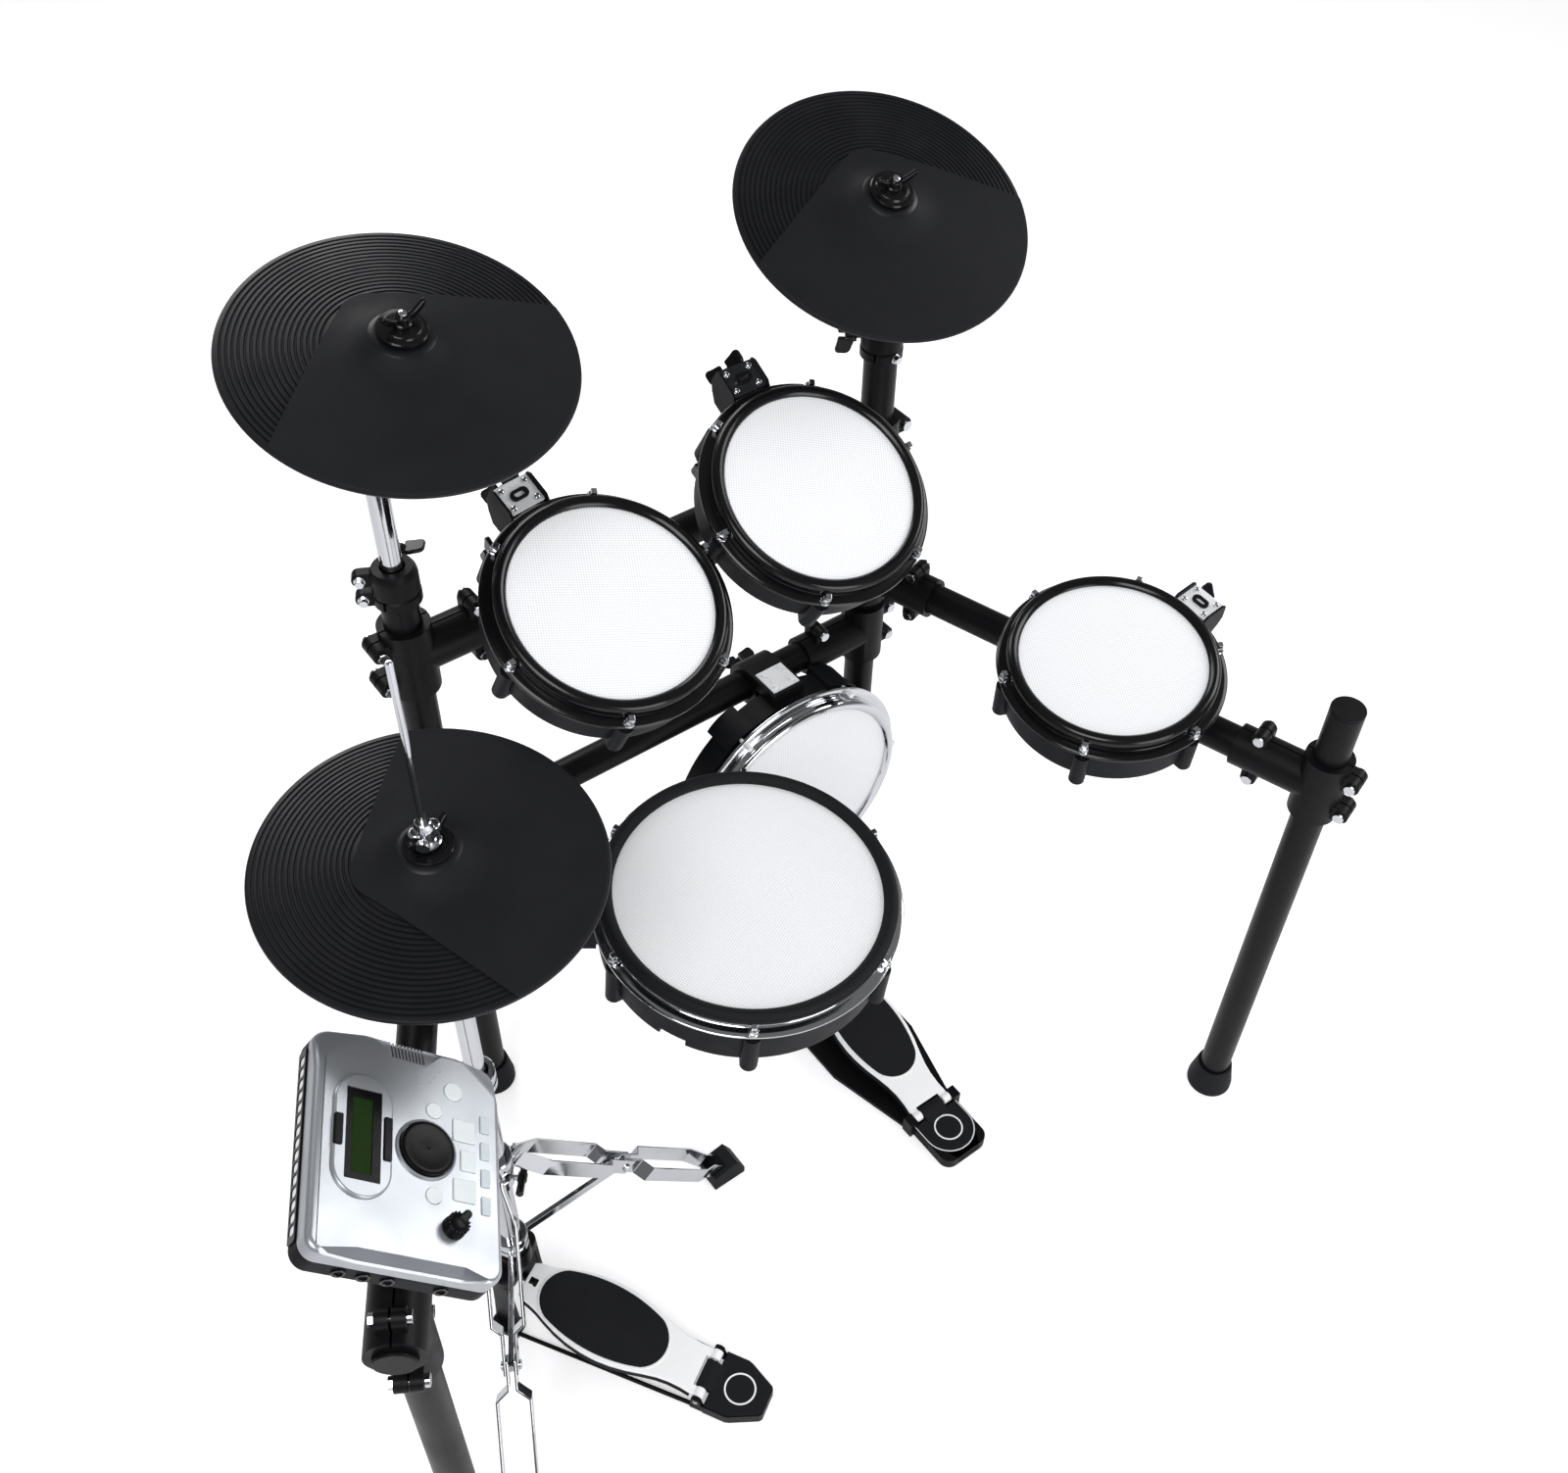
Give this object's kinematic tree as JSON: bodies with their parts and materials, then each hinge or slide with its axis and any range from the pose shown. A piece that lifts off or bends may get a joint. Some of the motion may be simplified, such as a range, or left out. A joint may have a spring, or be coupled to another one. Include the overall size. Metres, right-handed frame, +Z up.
{
  "type": "electronic drum kit",
  "caption": "Electronic drum kit on a black tube rack: white mesh drum pads, black rubber cymbal pads, a free-standing hi-hat with pedal, a kick pad with beater pedal and a sound module.",
  "frame": {"origin": "middle of the footprint, on the floor", "axes": "+Z up, the drummer sits on the -Y side and faces +Y, +X to the drummer's right"},
  "size_m": [1.1816, 0.7331, 1.1927],
  "materials": {
    "rack_paint": "satin black paint",
    "black_nylon": "moulded black nylon",
    "chrome": "polished chrome plate",
    "black_rubber": "matte black rubber",
    "shell_black": "fine-grained black plastic",
    "hoop_black": "smooth black",
    "mesh_white": "white woven mesh",
    "cast_aluminium": "sand-cast, satin",
    "pedal_paint": "semi-matte black paint",
    "beater_steel": "plated steel with a felt head",
    "case_black": "fine-grained black plastic",
    "panel_silver": "silver-grey paint on plastic",
    "screen_green": "glossy window over a green panel",
    "dial_grey": "grey moulded plastic",
    "key_grey": "grey silicone rubber"
  },
  "bodies": {
    "rack": {"rack_tubes": "rack_paint", "tube_caps": "black_nylon", "t_clamps": "black_nylon", "clamp_bolts": "chrome", "rod_clamps": "black_nylon", "pad_rods": "chrome", "cymbal_arms": "chrome", "rubber_feet": "black_rubber", "hihat_stand": "chrome", "hihat_base": "pedal_paint", "kick_pedal_base": "pedal_paint", "kick_stand": "pedal_paint", "kick_shell": "shell_black", "kick_hoop": "chrome", "kick_head": "mesh_white", "kick_hardware": "chrome", "module_bracket": "black_nylon"},
    "tom_1": {"tom_1_shell": "shell_black", "tom_1_hoop": "hoop_black", "tom_1_head": "mesh_white", "tom_1_hardware": "chrome"},
    "tom_2": {"tom_2_shell": "shell_black", "tom_2_hoop": "hoop_black", "tom_2_head": "mesh_white", "tom_2_hardware": "chrome"},
    "tom_3": {"tom_3_shell": "shell_black", "tom_3_hoop": "hoop_black", "tom_3_head": "mesh_white", "tom_3_hardware": "chrome"},
    "snare": {"snare_shell": "shell_black", "snare_hoop": "chrome", "snare_rim": "black_rubber", "snare_head": "mesh_white", "snare_hardware": "chrome"},
    "crash_mount": {"crash_tilter": "shell_black"},
    "crash": {"crash_pad": "black_rubber"},
    "ride_mount": {"ride_tilter": "shell_black"},
    "ride": {"ride_pad": "black_rubber"},
    "hihat_pedal": {"hihat_footboard": "cast_aluminium"},
    "hihat_top": {"hihat_pad": "black_rubber", "hihat_clutch": "chrome"},
    "kick_pedal": {"kick_footboard": "cast_aluminium"},
    "beater": {"kick_beater": "beater_steel"},
    "module": {"module_case": "case_black", "module_panel": "panel_silver", "module_screen": "screen_green"},
    "dial": {"module_dial": "dial_grey"},
    "knob": {"volume_knob": "dial_grey"},
    "soft_key_upper": {"soft_key_upper": "key_grey"},
    "soft_key_lower": {"soft_key_lower": "key_grey"},
    "round_key_right": {"round_key_right": "key_grey"},
    "round_key_upper": {"round_key_upper": "key_grey"},
    "round_key_left": {"round_key_left": "key_grey"},
    "square_key_right": {"square_key_right": "key_grey"},
    "square_key_middle": {"square_key_middle": "key_grey"},
    "square_key_left": {"square_key_left": "key_grey"},
    "small_key_1": {"small_key_1": "key_grey"},
    "small_key_2": {"small_key_2": "key_grey"},
    "small_key_3": {"small_key_3": "key_grey"},
    "small_key_4": {"small_key_4": "key_grey"}
  },
  "joints": [
    {"name": "tom_1_tilt", "type": "hinge", "parent": "rack", "child": "tom_1", "pos_m": [-0.08862, 0.21687, 0.91977], "axis": [-0.9903, -0.1392, 0], "range_deg": [-10, 10]},
    {"name": "tom_2_tilt", "type": "hinge", "parent": "rack", "child": "tom_2", "pos_m": [0.18138, 0.22744, 0.94053], "axis": [-0.9997, -0.0244, 0], "range_deg": [-10, 10]},
    {"name": "tom_3_tilt", "type": "hinge", "parent": "rack", "child": "tom_3", "pos_m": [0.54468, -0.12368, 0.69964], "axis": [-0.052, 0.9928, 0.1081], "range_deg": [-10, 10]},
    {"name": "snare_tilt", "type": "hinge", "parent": "rack", "child": "snare", "pos_m": [-0.17788, 0.01299, 0.559], "axis": [-0.5579, -0.8271, -0.0679], "range_deg": [-10, 10]},
    {"name": "crash_tilt", "type": "hinge", "parent": "rack", "child": "crash_mount", "pos_m": [-0.18839, 0.21663, 1.11678], "axis": [0.9877, 0.1564, 0], "range_deg": [-20, 15]},
    {"name": "crash_rock", "type": "hinge", "parent": "crash_mount", "child": "crash", "pos_m": [-0.18226, 0.20766, 1.1522], "axis": [0.9877, 0.1564, 0], "range_deg": [-3.5, 3.5], "stiffness_Nm_per_rad": 8},
    {"name": "ride_tilt", "type": "hinge", "parent": "rack", "child": "ride_mount", "pos_m": [0.34321, 0.22195, 1.08502], "axis": [0.986, -0.1668, 0], "range_deg": [-20, 15]},
    {"name": "ride_rock", "type": "hinge", "parent": "ride_mount", "child": "ride", "pos_m": [0.34526, 0.2062, 1.11849], "axis": [0.986, -0.1668, 0], "range_deg": [-3.5, 3.5], "stiffness_Nm_per_rad": 8},
    {"name": "hihat_press", "type": "hinge", "parent": "rack", "child": "hihat_pedal", "pos_m": [-0.22113, -0.26372, 0.02], "axis": [0.866, 0.5, 0], "range_deg": [-5, 0], "stiffness_Nm_per_rad": 24, "springref_deg": 11.46},
    {"name": "hihat_close", "type": "slide", "parent": "rack", "child": "hihat_top", "axis": [0, 0, -1], "range_m": [0, 0.0205]},
    {"name": "kick_press", "type": "hinge", "parent": "rack", "child": "kick_pedal", "pos_m": [0.21938, -0.14757, 0.02], "axis": [1, 0, 0], "range_deg": [-9, 0], "stiffness_Nm_per_rad": 24, "springref_deg": 9.17},
    {"name": "beater_swing", "type": "hinge", "parent": "rack", "child": "beater", "pos_m": [0.21938, 0.09243, 0.205], "axis": [1, 0, 0], "range_deg": [-43.2, 0]},
    {"name": "module_tilt", "type": "hinge", "parent": "rack", "child": "module", "pos_m": [-0.47538, -0.1818, 0.6903], "axis": [0.4787, 0.878, 0], "range_deg": [-20, 6]},
    {"name": "dial_turn", "type": "hinge", "parent": "module", "child": "dial", "pos_m": [-0.46179, -0.23374, 0.7402], "axis": [0.521, -0.2841, 0.8049], "continuous": true},
    {"name": "volume_turn", "type": "hinge", "parent": "module", "child": "knob", "pos_m": [-0.47499, -0.2983, 0.72596], "axis": [0.521, -0.2841, 0.8049], "range_deg": [-140, 140]},
    {"name": "soft_key_upper_press", "type": "slide", "parent": "module", "child": "soft_key_upper", "axis": [-0.521, 0.2841, -0.8049], "range_m": [0, 0.0012], "stiffness_N_per_m": 500, "springref_m": -0.0012},
    {"name": "soft_key_lower_press", "type": "slide", "parent": "module", "child": "soft_key_lower", "axis": [-0.521, 0.2841, -0.8049], "range_m": [0, 0.0012], "stiffness_N_per_m": 500, "springref_m": -0.0012},
    {"name": "round_key_right_press", "type": "slide", "parent": "module", "child": "round_key_right", "axis": [-0.521, 0.2841, -0.8049], "range_m": [0, 0.0012], "stiffness_N_per_m": 500, "springref_m": -0.0012},
    {"name": "round_key_upper_press", "type": "slide", "parent": "module", "child": "round_key_upper", "axis": [-0.521, 0.2841, -0.8049], "range_m": [0, 0.0012], "stiffness_N_per_m": 500, "springref_m": -0.0012},
    {"name": "round_key_left_press", "type": "slide", "parent": "module", "child": "round_key_left", "axis": [-0.521, 0.2841, -0.8049], "range_m": [0, 0.0012], "stiffness_N_per_m": 500, "springref_m": -0.0012},
    {"name": "square_key_right_press", "type": "slide", "parent": "module", "child": "square_key_right", "axis": [-0.521, 0.2841, -0.8049], "range_m": [0, 0.0012], "stiffness_N_per_m": 500, "springref_m": -0.0012},
    {"name": "square_key_middle_press", "type": "slide", "parent": "module", "child": "square_key_middle", "axis": [-0.521, 0.2841, -0.8049], "range_m": [0, 0.0012], "stiffness_N_per_m": 500, "springref_m": -0.0012},
    {"name": "square_key_left_press", "type": "slide", "parent": "module", "child": "square_key_left", "axis": [-0.521, 0.2841, -0.8049], "range_m": [0, 0.0012], "stiffness_N_per_m": 500, "springref_m": -0.0012},
    {"name": "small_key_1_press", "type": "slide", "parent": "module", "child": "small_key_1", "axis": [-0.521, 0.2841, -0.8049], "range_m": [0, 0.0012], "stiffness_N_per_m": 500, "springref_m": -0.0012},
    {"name": "small_key_2_press", "type": "slide", "parent": "module", "child": "small_key_2", "axis": [-0.521, 0.2841, -0.8049], "range_m": [0, 0.0012], "stiffness_N_per_m": 500, "springref_m": -0.0012},
    {"name": "small_key_3_press", "type": "slide", "parent": "module", "child": "small_key_3", "axis": [-0.521, 0.2841, -0.8049], "range_m": [0, 0.0012], "stiffness_N_per_m": 500, "springref_m": -0.0012},
    {"name": "small_key_4_press", "type": "slide", "parent": "module", "child": "small_key_4", "axis": [-0.521, 0.2841, -0.8049], "range_m": [0, 0.0012], "stiffness_N_per_m": 500, "springref_m": -0.0012}
  ],
  "couplings": [
    {"joint": "hihat_close", "follows": "hihat_press", "m_per_rad": -0.234},
    {"joint": "beater_swing", "follows": "kick_press", "ratio": 4.79}
  ]
}
